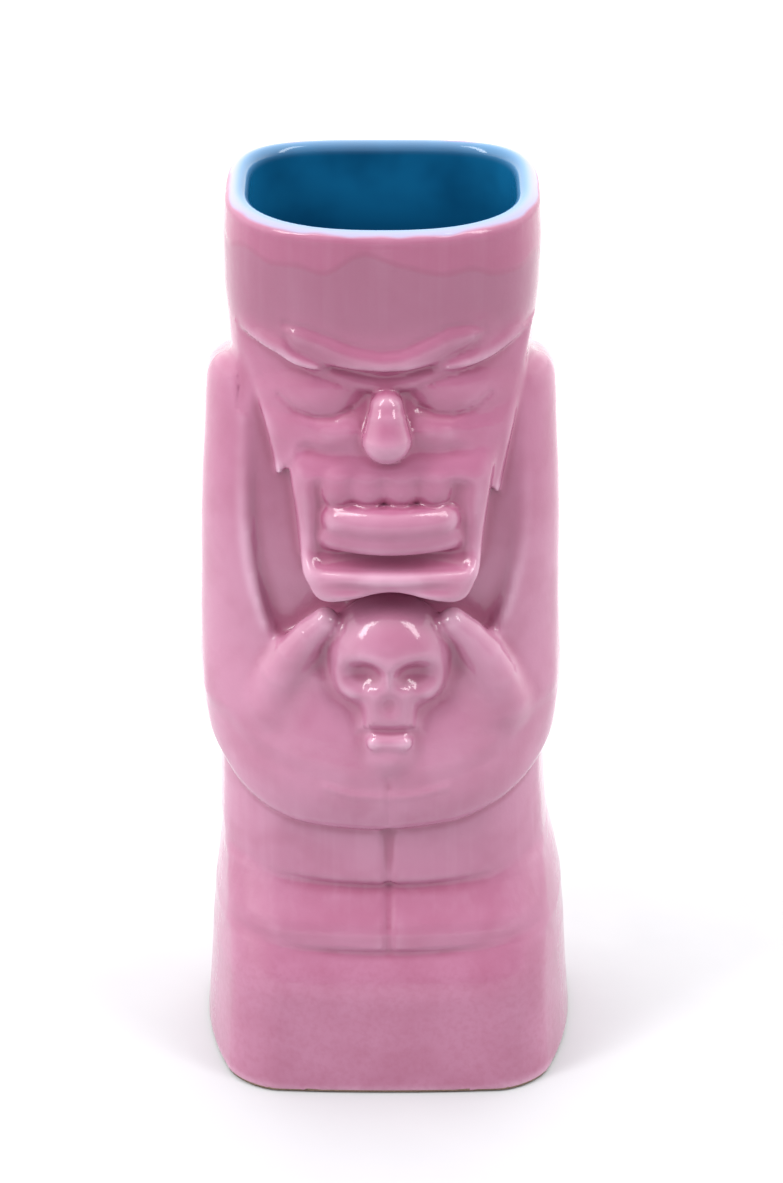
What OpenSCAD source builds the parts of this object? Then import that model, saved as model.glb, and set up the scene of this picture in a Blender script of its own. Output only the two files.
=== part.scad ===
// Ceramic tiki mug: a slip-cast figure with a heavy-browed face that holds a small skull.
// Millimetres. Origin at the centre of the footprint, +Z up, the face looks along -Y.
// The figure is one casting, coated outside with one glaze and inside with another.

/* [Overall] */
// Height from the foot ring to the crest of the lip
cup_h = 185; // [175:1:200]
// Width of the plinth at the table
base_w = 74.6; // [68:0.2:82]
// Depth of the plinth at the table, front to back
base_d = 62.8; // [56:0.2:70]
// Outer width of the rim
rim_w = 59.6; // [54:0.2:66]
// How far the front of the rim stands forward of the axis
rim_front = 24.4; // [21:0.2:27]
// How far the back of the rim stands behind the axis
rim_back = 23.2; // [20:0.2:26]

/* [Casting] */
// Thickness of the fired wall at the rim
wall = 2.2; // [2:0.1:4]
// Thickness of the floor over the recess
floor_t = 7; // [5:0.5:12]
// Thickness of either glaze coat
glaze_t = 0.6; // [0.4:0.1:1]
// Height of the bare foot below the outer glaze
foot_h = 1.8; // [1.4:0.1:4]
// Width of the foot ring that touches the table
foot_ring = 4.5; // [3:0.5:7]
// Depth of the recess inside the foot ring
foot_recess = 2; // [1:0.25:4]
// Distance below the crest where the lip glaze meets the outer glaze
seam_drop = 1.7; // [1.7:0.1:3]

/* [Head] */
// Height of the middle of the heavy brow roll
brow_z = 158.7; // [156:0.1:161]
// How far each brow end rises above the middle
brow_rise = 5; // [2:0.5:8]
// Height of the middle of the ledge that overhangs the eyes
ledge_z = 151.9; // [150:0.1:154]
// Height of the tip of the nose
nose_z = 143.9; // [142:0.1:147]
// How far the nose tip stands in front of the axis
nose_front = 30.7; // [28:0.1:32]
// Height of the crease along the tongue
tongue_z = 123.6; // [121:0.1:126]
// Half the length of the tongue
tongue_l = 14.6; // [12:0.2:16]
// Number of scallops on the upper lip
scallops = 4; // [3:1:6]

/* [Skull] */
// Height of the middle of the cranium
skull_z = 96.6; // [94:0.1:100]
// Half the width of the cranium
skull_w = 12; // [10:0.1:13]
// Half the distance between the eye sockets
socket_x = 5.9; // [4.5:0.1:7]

/* [Limbs] */
// Height where the middle of the belly hangs over the legs
waist_z = 57.6; // [56:0.1:60]
// How much higher the belly's lower edge is at the sides
waist_rise = 13; // [6:0.5:16]
// Height of the crease between legs and feet
ankle_z = 43.8; // [42:0.1:46]
// Top of the plinth
plinth_z = 28.4; // [26:0.2:31]
// Depth of the split between the two legs
split_d = 2.4; // [1:0.2:5]

/* [Hidden] */
clay_colour = [0.86, 0.80, 0.72];
pink_colour = [0.80, 0.47, 0.62];
blue_colour = [0.45, 0.68, 0.85];

half_w = base_w / 2;
half_d = base_d / 2;
seam_z = cup_h - seam_drop;
lip_r = (wall + 2 * glaze_t) / 2;
floor_z = foot_recess + floor_t;
figure_x = 0.7;
far = -40;

// ---- blending -------------------------------------------------------------------------
// Joins two heights with a fillet of size k
function fuse(a, b, k) =
    let (h = max(k - abs(a - b), 0) / k) max(a, b) + h * h * k / 4;

// Joins a list of heights one after another
function fuse_all(list, k, i = 0, h = far) =
    i == len(list) ? h : fuse_all(list, k, i + 1, fuse(h, list[i], k));

// A smooth hump of height 1 and half-width w
function hump(d, w) = exp(-(d / w) * (d / w));

// Eased step from 0 to 1 as v runs from a to b
function ease(v, a, b) =
    let (t = min(1, max(0, (v - a) / (b - a)))) t * t * (3 - 2 * t);

// ---- relief shapes: how far each stands forward at x, z ---------------------------------
// Front of an egg: centre c and radii r, both [x, forward, z]
function egg(x, z, c, r) =
    let (
        u = (x - c[0]) / r[0],
        w = (z - c[2]) / r[2],
        q = 1 - u * u - w * w
    ) q > 0 ? c[1] + r[1] * sqrt(q) : c[1] + r[1] * q * 2;

// Distance from x, z to the segment between p and q, with the place along it
function along(x, z, p, q) =
    let (
        e = [q[0] - p[0], q[2] - p[2]],
        t = min(1, max(0, ((x - p[0]) * e[0] + (z - p[2]) * e[1]) / (e * e)))
    ) [norm([x - p[0] - t * e[0], z - p[2] - t * e[1]]), t];

// Front of a tapered roll from p to q, each [x, forward, z, radius]
function roll(x, z, p, q) =
    let (
        d = along(x, z, p, q),
        f = p[1] + d[1] * (q[1] - p[1]),
        r = p[3] + d[1] * (q[3] - p[3])
    ) d[0] < r ? f + sqrt(r * r - d[0] * d[0]) : f - 2.6 * (d[0] - r);

// Front of a roll that follows a chain of points
function rolls(x, z, chain) =
    max([for (i = [0 : len(chain) - 2]) roll(x, z, chain[i], chain[i + 1])]);

// Distance to a chain of [x, 0, z] points
function chain_gap(x, z, chain) =
    min([for (i = [0 : len(chain) - 2]) along(x, z, chain[i], chain[i + 1])[0]]);

// Front of a raised pad with soft edges; inside is how far the place lies within its border
function pad(depth, inside) = depth - 12 * (1 - ease(inside, -2, 1.6));

// Rounded oblong section: half-width a, depth b, squareness n
function oblong(x, a, b, n) =
    abs(x) < a ? b * pow(1 - pow(abs(x) / a, n), 1 / n) : far;

// ---- silhouettes by height ------------------------------------------------------------------
side_line = [
    [0, half_w], [3, half_w], [12.5, half_w - 0.7], [22, half_w - 1.2],
    [plinth_z, half_w - 1.9], [31.6, 34.9], [36, 34], [ankle_z, 33.2], [50, 32.9], [55, 32.6],
    [60, 32.3], [64, 32.5], [69, 33.8], [73.5, 34.5], [78, 35.1], [87, 35.8], [96, 35.9],
    [107, 35.7], [118, 35.4], [127, 35], [133.5, 34.4], [140, 34.1], [144, 33.6], [148.5, 32.4],
    [150.5, 31], [152.5, 29.4], [157, 29.4], [161, 29.8], [168, 30.3], [176, 30.3],
    [seam_z, rim_w / 2], [cup_h, rim_w / 2]
];
front_line = [
    [0, half_d], [14, half_d - 0.7], [plinth_z - 1.6, half_d - 1.6], [plinth_z, half_d - 3],
    [plinth_z + 1.2, 25.9], [plinth_z + 2, 26.2], [plinth_z + 3.2, 27.1], [35, 27.5],
    [36.2, 26.8], [ankle_z - 0.2, 20.7], [ankle_z + 0.6, 22.6], [ankle_z + 1.8, 24.2],
    [ankle_z + 3, 24.4], [cup_h, 24.4]
];
belly_line = [
    [56, 26], [60, 27], [64, 28.2], [67, 28.7], [71, 28.5], [75, 27.6], [80, 26.4], [86, 24.4],
    [92, 22.6], [100, 21.2], [112, 20.4], [130, 20], [146, 19.6], [149, 21], [152, 23.8],
    [154, rim_front], [cup_h, rim_front]
];
back_line = [
    [0, half_d], [14, half_d - 0.7], [plinth_z - 1.6, half_d - 1.6], [plinth_z + 1, 27.8],
    [ankle_z - 1, 27.4], [ankle_z + 1, 25.8], [60, 25.4], [68, 26.8], [80, 28], [100, 28.4],
    [125, 27.8], [143, 26.6], [149, 25.2], [153, rim_back], [cup_h, rim_back]
];

// How square the front and the back of each section are
head_square = [2.5, 3.4];
front_square = [
    [0, 8], [plinth_z - 1, 8], [plinth_z + 1.2, 4], [ankle_z - 0.4, 4], [ankle_z + 0.6, 2.7],
    [88, 2.6], [100, 3.2], [146, 3.2], [152, head_square[0]], [cup_h, head_square[0]]
];
back_square = [
    [0, 3.4], [60, 3], [75, 2.6], [110, 3], [150, 3], [156, head_square[1]],
    [cup_h, head_square[1]]
];

// How strongly the sides draw in towards the front and the back
bow_line = [[0, 0.2], [plinth_z, 0.2], [ankle_z, 0.1], [75, 0], [cup_h, 0]];

// The figure leans a little to one side as it rises
lean_line = [
    [33, 0], [43, -0.5], [50, -1.1], [60, -1.3], [80, -1.5], [98, -1.7], [118, -1.6], [150, -1.4],
    [172, -1.2], [cup_h, -1.2]
];

function side_w(z) = lookup(z, side_line);
function lean(z) = lookup(z, lean_line);
function bow(z) = lookup(z, bow_line);

// The belly's lower edge curves up towards the sides
function waist_at(x) = waist_z + waist_rise * pow(min(1, abs(x) / 36), 4);

function front_d(x, z) =
    let (
        low = lookup(z, front_line),
        high = lookup(z, belly_line),
        edge = waist_at(x)
    ) low + (high - low) * ease(z, edge - 1, edge + 1.8);

// ---- head ---------------------------------------------------------------------------------
// Left and right edges of the face and of the muzzle by height
cheek_left = [[130, 20.4], [137, 21.4], [143, 22.8], [150, 25], [163, 28.4], [170, 29.4]];
cheek_right = [[128, 22], [136, 23.4], [143, 24.8], [150, 26.2], [161, 28], [170, 29.4]];
muzzle_left = [[104, 10], [110, 13.4], [115, 15.9], [126, 17], [136, 18.4], [144, 19.4]];
muzzle_right = [[104, 12], [109, 15.4], [115, 18.2], [125, 19.4], [137, 21], [144, 21.6]];
cheek_front = [
    [127, 23], [136, 24.2], [142, 24.6], [145, 24.2], [148, 23.3], [152, 22.6], [160, 22.8]
];
cheek_low = [
    [-26, 128], [-20, 133], [-15, 139.4], [-3, 138.8], [4, 139.4], [14, 140], [18, 135],
    [22, 128.5], [26, 125]
];
muzzle_front = [
    [106, 30], [112, 30.2], [115, 29.9], [117, 29], [119.4, 27.4], [123, 26.8], [131, 27.2],
    [135.6, 27], [137.4, 26], [139, 24], [144, 23]
];
face_drop = [[0, 0], [7, 0.3], [14, 1.2], [20, 3.6], [25, 7], [29, 11]];

function within(x, z, left, right) = min(x + lookup(z, left), lookup(z, right) - x);
function face_depth(x, z) = lookup(z, cheek_front) - lookup(abs(x), face_drop);

// The ledge and the brow dip in the middle and rise to both ends
function ledge_at(x) = ledge_z + 10.6 * ease(abs(x), 0, 32);
function brow_at(x) = brow_z + brow_rise * ease(abs(x), 0, 16);
brow_chain = [for (x = [-16, -10, -5, 0, 5, 10, 16]) [x, 0, brow_at(x)]];
ledge_chain = [for (x = [-27, -18, -9, 0, 9, 18, 27]) [x, 0, ledge_at(x) + 1.6]];

function lid(x, z, cx) =
    let (q = norm([(x - cx) / 11.6, (z - ledge_z) / 5.2])) 1.5 * pow(max(0, 1 - q * q), 1.5);

// Forehead above the ledge, with the brow raised on it; eye sockets below
function brow_and_eyes(x, z, depth) =
    let (
        above = ease(z, ledge_at(x) - 1, ledge_at(x) + 1),
        brow = 1.5 * hump(chain_gap(x, z, brow_chain), 2.4)
            + 1.3 * hump(chain_gap(x, z, ledge_chain), 1.8),
        lids = lid(x, z, -13.6) + lid(x, z, 14.4),
        eyes = min(depth, face_depth(x, z) + lids)
    ) eyes + (depth + brow - eyes) * above;

function cheeks(x, z) =
    z < 122 || z > 162 ? far
    : pad(face_depth(x, z), min(within(x, z, cheek_left, cheek_right), z - lookup(x, cheek_low)));

chin_x = 1.2;
function muzzle(x, z) =
    z < 107 || z > 146 ? far
    : let (
        chin_z = 108.6 + 3 * hump(x - chin_x, 9),
        inside = min(within(x, z, muzzle_left, muzzle_right), z - chin_z, 143.5 - z)
    ) pad(lookup(z, muzzle_front) - pow(x - chin_x, 2) / 110, inside);

function nose(x, z) =
    rolls(x, z, [
        [0.4, nose_front - 6.5, nose_z + 7.9, 3], [0.4, nose_front - 5.1, nose_z + 4.5, 3.8],
        [0.4, nose_front - 4.8, nose_z, 4.8]
    ]);

// The tongue is two long rolls, bowed back at both ends
function tongue(x, z) =
    let (
        reach = tongue_l - 4,
        m = abs(x - 1.6),
        upper = roll(m, z, [0, 26.8, tongue_z + 2, 3.4], [reach, 24.8, tongue_z + 1.6, 2.6]),
        lower = roll(m, z, [0, 26.6, tongue_z - 1.8, 2.9], [reach + 1.2, 24.8, tongue_z - 1.6, 2.4])
    ) fuse(upper, lower, 1.6);

function upper_lip(x, z) =
    fuse_all([
        for (i = [0 : scallops - 1])
            let (c = -9.6 + i * 19.8 / (scallops - 1))
            egg(x, z, [c, 24.4 - 0.012 * c * c, tongue_z + 9.6], [3.5, 2.4, 4])
    ], 1.2);

mouth_back = 24.6;
function head(x, z) =
    let (
        mask = fuse(cheeks(x, z), muzzle(x, z), 1),
        inside = min(x + 14.4, 17.4 - x, z - tongue_z + 4.4, tongue_z + 11.6 - z),
        mouth = mask - max(0, mask - mouth_back) * ease(inside, -1, 1.2),
        lips = z > 116 && z < 140 ? fuse(upper_lip(x, z), tongue(x, z), 0.8) : far
    ) fuse_all([mouth, lips, z > 134 ? nose(x, z) : far], 1);

// ---- skull and hands ------------------------------------------------------------------------
function skull(x, z) =
    let (
        s = x - 0.9,
        m = abs(s),
        bone = fuse_all([
            egg(s, z, [0, 21, skull_z], [skull_w, 9.8, 11.2]),
            egg(m, z, [6, 21, skull_z - 5], [5.4, 7.6, 5.6]),
            rolls(s, z, [[0, 21.4, 87, 7.4], [0, 21.6, 80, 6.9], [0, 21.4, 75.6, 5.6]]),
            roll(s, z, [-2.9, 26.9, 79.4, 1.9], [2.9, 26.9, 79.4, 1.9])
        ], 2),
        plate = pad(29.2 - 0.05 * (88 - z), min(3.9 + 0.14 * (91 - z) - m, 4.6 - abs(z - 86.8)))
    ) fuse(bone, plate, 2)
        - 3 * hump(norm([(m - socket_x) / 3.6, (z - 94.2) / 2.8]), 1)
        - 1.4 * hump(norm([s / 3.6, z - 81.9]), 1);

hand_chain = [
    [12.8, 22.2, 102, 3], [16.2, 21.4, 98.8, 3.8], [19.4, 20.6, 94.6, 4.4], [21.4, 19.6, 90, 5],
    [22.4, 18.2, 84, 5.6]
];
palm_chain = [[11, 17.6, 98, 4.4], [13.4, 17.4, 90, 5.6], [15, 17, 83, 6], [9, 17.6, 80, 6.4]];

function hands(x, z) =
    let (m = abs(x - 0.8)) fuse(rolls(m, z, hand_chain), rolls(m, z, palm_chain), 3);

// The chest is a hollow between the arms and the jaw
chest_w = [
    [86, 18], [92, 20], [98, 22], [104, 24.5], [113, 27.4], [124, 28.4], [137, 28.6], [156, 27.6]
];
chest_front = [
    [76, 38], [84, 28.6], [88, 24.2], [94, 19.6], [100, 17.2], [106, 16], [120, 15.4], [156, 15.4]
];

function hollowed(x, z, depth) =
    z < 80 || z > 152 ? depth
    : depth - max(0, depth - lookup(z, chest_front)) * ease(lookup(z, chest_w) - abs(x), -1, 4)
        * (1 - ease(z, 147, 151));

// ---- legs and feet ----------------------------------------------------------------------------
split_x = 0.8;
function split(x, z) =
    split_d * hump(x - split_x, 1 + 0.7 * ease(z, ankle_z, waist_z))
        * ease(z, plinth_z + 0.6, plinth_z + 2) * (1 - ease(z, waist_z - 1, waist_z + 1));

// ---- the outer form ---------------------------------------------------------------------------
// How far the front stands forward of the axis at x, z; x is measured from the leaning axis
function front(x, z) =
    let (
        trunk = oblong(x, side_w(z), front_d(x, z), lookup(z, front_square)),
        fade = ease(side_w(z) - abs(x), 0, 3),
        s = x + lean(z) + figure_x,
        body = z > 149 && z < 172 ? brow_and_eyes(s, z, trunk) : hollowed(s, z, trunk),
        held = z > 64 && z < 113 ? fuse(hands(s, z), skull(s, z), 1) : far,
        face = z > 105 && z < 163 ? head(s, z) : far,
        carved = fuse(fuse(body, held, 3), face, 2) - split(s, z)
    ) trunk + (carved - trunk) * fade;

// Directions round the axis: close together over the carved front, wider apart behind
front_steps = 38;
back_steps = 15;
dirs = concat(
    [for (i = [0 : front_steps - 1]) -174 + i * 168 / front_steps],
    [for (i = [0 : back_steps]) -6 + i * 192 / back_steps]
);
cols = len(dirs);

// Oblong point in direction t: half-width a, front and back depths, squareness of each
function plan(t, a, depth, square) =
    let (
        k = sin(t) < 0 ? 0 : 1,
        r = pow(pow(abs(cos(t)) / a, square[k]) + pow(abs(sin(t)) / depth[k], square[k]), -1 / square[k])
    ) [r * cos(t), r * sin(t)];

// Draws the sides in by the bow of that height, then leans the point over
function placed(p, y, depth, z) = [p[0] * (1 - bow(z) * pow(y / depth, 2)) + lean(z), p[1], z];

// Edge of the skull, muzzle or face at height z, which the points gather inside
skull_edge = [
    [64, 12], [70, 9], [76, 7], [80, 8], [86, 9], [90, 11.6], [96, 12.4], [101, 11.8], [105, 10.6]
];
gather = 0.6;
function edge_at(x, z, a) =
    let (
        e = z < 107 ? lookup(z, skull_edge)
            : z < 142 ? lookup(z, x < 0 ? muzzle_left : muzzle_right)
            : lookup(z, x < 0 ? cheek_left : cheek_right),
        m = e - sign(x) * (lean(z) + figure_x)
    ) gather * a + (m - gather * a) * ease(z, 58, 72) * (1 - ease(z, 146, 162));

function gathered(x, z, a) =
    let (m = abs(x), k = gather * a, e = edge_at(x, z, a))
    sign(x) * (m < k ? m * e / k : e + (m - k) * (a - e) / (a - k));

// Oblong point, then the carved front depth; grow moves it outward
function form_point(t, z, grow) =
    let (
        a = side_w(z),
        ahead = sin(t) < 0,
        depth = [front_d(0, z), lookup(z, back_line)],
        p = plan(t, a, depth, [lookup(z, front_square), lookup(z, back_square)]),
        x = ahead ? gathered(p[0], z, a) : p[0],
        y = ahead ? -max(front(x, z), 0) : p[1]
    ) placed([x * (a + grow) / a, y + grow * sin(t)], p[1], depth[ahead ? 0 : 1], z);

function form_ring(z, grow) = [for (t = dirs) form_point(t, z, grow)];

// Levels of the outer form, close together where the carving is fine
bands = [
    [foot_h, plinth_z - 1.6, 2], [plinth_z - 1.6, plinth_z + 1.2, 2],
    [plinth_z + 1.2, ankle_z, 4], [ankle_z, ankle_z + 2, 1], [ankle_z + 2, waist_z - 1, 1],
    [waist_z - 1, 72, 5], [72, 109, 14], [109, 119, 4], [119, 151, 13], [151, 166, 6],
    [166, seam_z, 1]
];
levels = concat(
    [for (b = bands) for (i = [0 : b[2] - 1]) b[0] + i * (b[1] - b[0]) / b[2]],
    [seam_z]
);

// ---- the cavity ----------------------------------------------------------------------------------
// Height, half-width, front depth and back depth of the glazed inside
cavity = [
    [cup_h - lip_r, rim_w / 2 - 2 * lip_r, rim_front - 2 * lip_r, rim_back - 2 * lip_r],
    [172, 26.2, 20.6, 19.8], [156, 25.2, 17.6, 19.4], [148, 25.6, 15, 20], [136, 28.2, 12, 22],
    [108, 29.6, 12, 23.6], [92, 29.6, 13.6, 23.8], [76, 28.8, 18.5, 22.6], [62, 26.4, 18.5, 20],
    [45.5, 26.8, 15, 20.4], [26, 28.6, 19.5, 22.4], [floor_z + 4, 28.4, 20.4, 22.4],
    [floor_z + 1, 26, 18.4, 20.4], [floor_z, 20, 13, 15]
];

function cavity_ring(row, grow, lift) = [
    for (t = dirs)
        placed(plan(t, row[1] + grow, [row[2] + grow, row[3] + grow], head_square), 0, 1, row[0])
            + [0, 0, lift]
];

// The lip is a half round from the outside over the crest to the inside
lip_turns = [30, 60, 90, 120, 150];
function lip_ring(turn, r) =
    let (inset = lip_r - r * cos(turn), z = cup_h - lip_r + r * sin(turn))
    [
        for (t = dirs)
            placed(plan(t, rim_w / 2 - inset, [rim_front - inset, rim_back - inset], head_square), 0, 1, z)
    ];

// ---- solids from rings ------------------------------------------------------------------------------
function quads(n, i, j) = [
    for (c = [0 : n - 1])
        let (d = (c + 1) % n)
        each [[i * n + c, j * n + d, i * n + d], [i * n + c, j * n + c, j * n + d]]
];

// A closed skin through the rings, capped flat at the first and last
module capped(rings) {
    n = cols;
    m = len(rings);
    mid = function (ring) [for (k = [0 : 2]) [for (p = ring) p[k]] * [for (p = ring) 1] / n];
    points = concat([for (r = rings) each r], [mid(rings[0]), mid(rings[m - 1])]);
    polyhedron(points, concat(
        [for (i = [0 : m - 2]) each quads(n, i, i + 1)],
        [for (c = [0 : n - 1]) [m * n, c, (c + 1) % n]],
        [for (c = [0 : n - 1]) [m * n + 1, (m - 1) * n + (c + 1) % n, (m - 1) * n + c]]
    ), convexity = 12);
}

// A closed skin that runs through the rings and back to the first
module looped(rings) {
    m = len(rings);
    polyhedron(
        [for (r = rings) each r],
        [for (i = [0 : m - 1]) each quads(cols, i, (i + 1) % m)],
        convexity = 12
    );
}

// Rings shared by touching pieces, so their faces meet exactly
skin_rings = [for (z = levels) form_ring(z, 0)];
clay_rings = [for (z = levels) form_ring(z, -glaze_t)];
lip_rings = [for (t = lip_turns) lip_ring(t, lip_r)];
clay_lip_rings = [for (t = lip_turns) lip_ring(t, lip_r - glaze_t)];
liner_rings = [for (row = cavity) cavity_ring(row, 0, 0)];
hollow_rings = [for (row = cavity) cavity_ring(row, glaze_t, row[0] < floor_z + 2 ? -glaze_t : 0)];

function reversed(list) = [for (i = [len(list) - 1 : -1 : 0]) list[i]];

function foot_ring_at(z, inset) = [
    for (t = dirs)
        let (
            depth = half_d - inset,
            p = plan(t, half_w - inset, [depth, depth], [front_square[0][1], back_square[0][1]])
        ) placed(p, p[1], depth, z)
];

// ---- the pieces ------------------------------------------------------------------------------------------
// Fired slip-cast wall with its floor and its bare foot ring
module clay_body() {
    color(clay_colour)
        capped(concat(
            [
                foot_ring_at(foot_recess, foot_ring + 2.4), foot_ring_at(0, foot_ring + 1),
                foot_ring_at(0, 1.2), foot_ring_at(0.8, 0.2), foot_ring_at(foot_h - 0.4, 0.2)
            ],
            clay_rings, clay_lip_rings, hollow_rings
        ));
}

// Pink glaze from just above the foot to the edge of the lip
module outer_glaze() {
    color(pink_colour)
        looped(concat(skin_rings, reversed(clay_rings)));
}

// Blue glaze over the lip and down the whole inside
module inner_glaze() {
    color(blue_colour)
        capped(concat(
            reversed(liner_rings), reversed(lip_rings), [skin_rings[len(levels) - 1]],
            [clay_rings[len(levels) - 1]], clay_lip_rings, hollow_rings
        ));
}

clay_body();
outer_glaze();
inner_glaze();
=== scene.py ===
"""Tiki mug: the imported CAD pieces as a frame, with a sculpted ceramic figure in their place.

The figure is described as a solid: a signed distance, in millimetres, to stacked rounded masses
with carved relief on the front. Its surface is found on a grid, pulled onto the solid, and split
into the bare clay, the pink outer glaze and the blue inner glaze.
"""

import math

import bpy
import numpy as np
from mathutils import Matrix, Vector


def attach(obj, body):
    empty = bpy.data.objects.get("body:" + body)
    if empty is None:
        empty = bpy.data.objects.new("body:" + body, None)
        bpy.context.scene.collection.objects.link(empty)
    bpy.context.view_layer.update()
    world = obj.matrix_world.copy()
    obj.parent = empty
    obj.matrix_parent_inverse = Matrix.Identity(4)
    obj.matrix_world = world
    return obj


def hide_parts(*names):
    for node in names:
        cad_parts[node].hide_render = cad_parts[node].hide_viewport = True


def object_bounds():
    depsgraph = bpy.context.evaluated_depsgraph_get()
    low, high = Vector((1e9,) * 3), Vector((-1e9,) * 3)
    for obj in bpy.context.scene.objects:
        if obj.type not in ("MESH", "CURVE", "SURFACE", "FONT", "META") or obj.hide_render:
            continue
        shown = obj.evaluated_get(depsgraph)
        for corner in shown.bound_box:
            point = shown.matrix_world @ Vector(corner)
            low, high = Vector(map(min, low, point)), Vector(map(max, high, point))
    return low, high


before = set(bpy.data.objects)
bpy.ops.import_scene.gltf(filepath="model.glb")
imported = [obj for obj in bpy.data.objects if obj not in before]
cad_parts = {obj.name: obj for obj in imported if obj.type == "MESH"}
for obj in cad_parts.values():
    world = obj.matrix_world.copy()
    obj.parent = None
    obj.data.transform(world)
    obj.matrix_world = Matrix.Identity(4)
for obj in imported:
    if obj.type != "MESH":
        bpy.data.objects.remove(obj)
CAD_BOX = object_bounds()
MM = 0.001

# ---- sizes in millimetres; height and base from the frame ----------------------------------------
low, high = CAD_BOX
HEIGHT = (high[2] - low[2]) / MM
BASE_W = (high[0] - low[0]) / 2 / MM  # half the width of the base
BASE_D = (high[1] - low[1]) / 2 / MM  # half its depth
LIP = 1.6  # radius of the lip's edge
FOOT_Z = 0.8  # how high the bare clay shows above the table
VOXEL = 0.8  # spacing of the grid the surface is found on


# ---- blending ------------------------------------------------------------------------------------
def join(a, b, k):
    """Union of two solids with a fillet of size k."""
    h = np.maximum(k - np.abs(a - b), 0) / k
    return np.minimum(a, b) - h * h * k / 4


def cut(a, b, k):
    """Solid a less solid b, with a rounded edge of size k."""
    return -join(-a, b, k)


def meet(a, b, k):
    """What two solids share, with a rounded edge of size k."""
    return -join(-a, -b, k)


# ---- solids. x is to the viewer's right, f forward, z up -----------------------------------------
def egg(x, f, z, c, r, tilt=0.0):
    """Egg with centre c and radii r, turned in the x-z plane by tilt degrees."""
    dx, df, dz = x - c[0], f - c[1], z - c[2]
    if tilt:
        s, t = math.sin(math.radians(tilt)), math.cos(math.radians(tilt))
        dx, dz = dx * t + dz * s, dz * t - dx * s
    k0 = np.sqrt((dx / r[0]) ** 2 + (df / r[1]) ** 2 + (dz / r[2]) ** 2)
    k1 = np.sqrt((dx / r[0] ** 2) ** 2 + (df / r[1] ** 2) ** 2 + (dz / r[2] ** 2) ** 2)
    return k0 * (k0 - 1) / (k1 + 1e-6)


def roll(x, f, z, p, q):
    """Tapered roll between two points, each (x, f, z, radius)."""
    ax, af, az = q[0] - p[0], q[1] - p[1], q[2] - p[2]
    t = ((x - p[0]) * ax + (f - p[1]) * af + (z - p[2]) * az) / (ax * ax + af * af + az * az)
    t = np.clip(t, 0, 1)
    gap = np.sqrt((x - p[0] - ax * t) ** 2 + (f - p[1] - af * t) ** 2 + (z - p[2] - az * t) ** 2)
    return gap - (p[3] + (q[3] - p[3]) * t)


def rolls(x, f, z, points):
    """Rolls end to end."""
    return np.min([roll(x, f, z, p, q) for p, q in zip(points, points[1:])], axis=0)


def slab(x, f, z, lo, hi, r):
    """Box between two corners, with rounded edges."""
    c = [(a + b) / 2 for a, b in zip(lo, hi)]
    h = [(b - a) / 2 - r for a, b in zip(lo, hi)]
    q = [np.abs(v - m) - n for v, m, n in zip((x, f, z), c, h)]
    out = np.sqrt(sum(np.maximum(v, 0) ** 2 for v in q))
    return out + np.minimum(np.maximum(q[0], np.maximum(q[1], q[2])), 0) - r


def column(x, f, side, front, back, px, pf):
    """Upright rounded oblong. The powers px and pf make its front and its sides flatter."""
    b = np.where(f > 0, front, back)
    u, v = np.maximum(np.abs(x) / side, 1e-4), np.maximum(np.abs(f) / b, 1e-4)
    g = u ** px + v ** pf
    m = (px + pf) / 2
    s = g ** (1 / m)
    grow = s / g / m * np.sqrt((px * u ** (px - 1) / side) ** 2 + (pf * v ** (pf - 1) / b) ** 2)
    return (s - 1) / np.maximum(grow, 1e-3)


def block(x, f, side, front, back, r, flat=700.0, bow=150.0, r_back=15.0):
    """Upright block with bowed sides, front corners of radius r and a round back. A large flat
    makes its front flatter."""
    u = np.abs(x) - side + (f + 4) ** 2 / bow
    w = np.where(f > 0, f - front + x * x / flat, -f - back + x * x / 400)
    c = np.where(f > 0, r, r_back)
    p, q = np.maximum(u + c, 0), np.maximum(w + c, 0)
    return np.sqrt(p * p + q * q) - c + np.minimum(np.maximum(u + c, w + c), 0)


LEVELS = np.arange(-60, 260, 0.1)


def eased(table, soft=1.0):
    """Smooth function through the points of a table, its corners eased over soft mm each way."""
    values = np.interp(LEVELS, [p[0] for p in table], [p[1] for p in table])
    reach = max(1, int(round(20 * soft)))
    kernel = np.exp(-np.linspace(-2, 2, 2 * reach + 1) ** 2)
    values = np.convolve(np.pad(values, reach, mode="edge"), kernel / kernel.sum(), mode="valid")
    return lambda v: np.interp(v, LEVELS, values)


# ---- relief: shallow carving that raises or lowers the surface -----------------------------------
def gap(x, z, points):
    """Distance from each place to a line of (x, z) points."""
    best = np.full(np.shape(x), 1e9)
    for (x0, z0), (x1, z1) in zip(points[:-1], points[1:]):
        ax, az = x1 - x0, z1 - z0
        t = np.clip(((x - x0) * ax + (z - z0) * az) / (ax * ax + az * az), 0, 1)
        best = np.minimum(best, (x - x0 - ax * t) ** 2 + (z - z0 - az * t) ** 2)
    return np.sqrt(best)


def line(x, z, points, width, height):
    """Raised line, or a groove where height is negative."""
    return height * np.exp(-(gap(x, z, points) / width) ** 2)


def dome(x, z, c, r, height, tilt=0.0):
    """Low dome that fades out at its edge, turned by tilt degrees."""
    s, t = math.sin(math.radians(tilt)), math.cos(math.radians(tilt))
    dx, dz = x - c[0], z - c[1]
    q = ((dx * t + dz * s) / r[0]) ** 2 + ((dz * t - dx * s) / r[1]) ** 2
    return height * np.maximum(1 - q, 0) ** 1.5


def step(v, lo, hi):
    """Rises smoothly from 0 at lo to 1 at hi."""
    t = np.clip((v - lo) / (hi - lo), 0, 1)
    return t * t * (3 - 2 * t)


# ---- the trunk: plinth, feet, legs, belly, arms and head -----------------------------------------
PLINTH_Z, ANKLE_Z = 28.8, 43.8  # top of the plinth, and crease above the feet

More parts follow.
